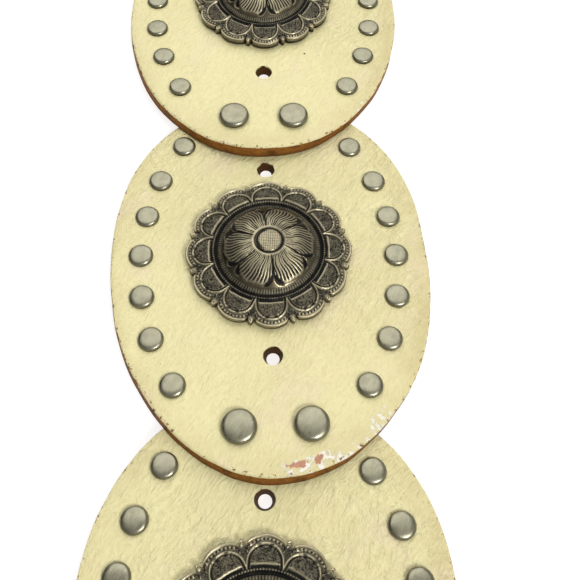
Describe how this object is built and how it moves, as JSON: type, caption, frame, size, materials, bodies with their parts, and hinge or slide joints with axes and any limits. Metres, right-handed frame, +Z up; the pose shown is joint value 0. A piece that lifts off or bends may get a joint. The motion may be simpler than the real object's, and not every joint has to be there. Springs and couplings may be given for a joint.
{
  "type": "concho belt",
  "caption": "Belt of overlapping riveted leather ovals, each with a round domed flower concho, rows of small studs and lace holes.",
  "frame": {"origin": "on the surface that the belt lies on, under the middle of its bounding box", "axes": "+Y along the belt, from the last oval to the first; +Z up, out of the face; +X across the belt"},
  "size_m": [0.0906, 0.886, 0.0149],
  "materials": {
    "ivory_leather": "glazed ivory face with fine wrinkles, brown cut edges",
    "satin_nickel": "satin nickel plate, a little dulled",
    "antique_silver": "cast relief in antiqued silver plate, nearly black in the recesses"
  },
  "bodies": {
    "root": {"oval_1": "ivory_leather", "concho_1": "antique_silver", "concho_post_1": "satin_nickel", "rivet_1_left": "satin_nickel", "rivet_1_right": "satin_nickel", "oval_2": "ivory_leather", "concho_2": "antique_silver", "concho_post_2": "satin_nickel", "rivet_2_left": "satin_nickel", "rivet_2_right": "satin_nickel", "oval_3": "ivory_leather", "concho_3": "antique_silver", "concho_post_3": "satin_nickel", "rivet_3_left": "satin_nickel", "rivet_3_right": "satin_nickel", "oval_4": "ivory_leather", "concho_4": "antique_silver", "concho_post_4": "satin_nickel", "rivet_4_left": "satin_nickel", "rivet_4_right": "satin_nickel", "oval_5": "ivory_leather", "concho_5": "antique_silver", "concho_post_5": "satin_nickel", "rivet_5_left": "satin_nickel", "rivet_5_right": "satin_nickel", "oval_6": "ivory_leather", "concho_6": "antique_silver", "concho_post_6": "satin_nickel", "rivet_6_left": "satin_nickel", "rivet_6_right": "satin_nickel", "oval_7": "ivory_leather", "concho_7": "antique_silver", "concho_post_7": "satin_nickel", "rivet_7_left": "satin_nickel", "rivet_7_right": "satin_nickel", "oval_8": "ivory_leather", "concho_8": "antique_silver", "concho_post_8": "satin_nickel", "rivet_8_left": "satin_nickel", "rivet_8_right": "satin_nickel", "oval_9": "ivory_leather", "concho_9": "antique_silver", "concho_post_9": "satin_nickel", "closing_button": "satin_nickel"}
  },
  "joints": []
}
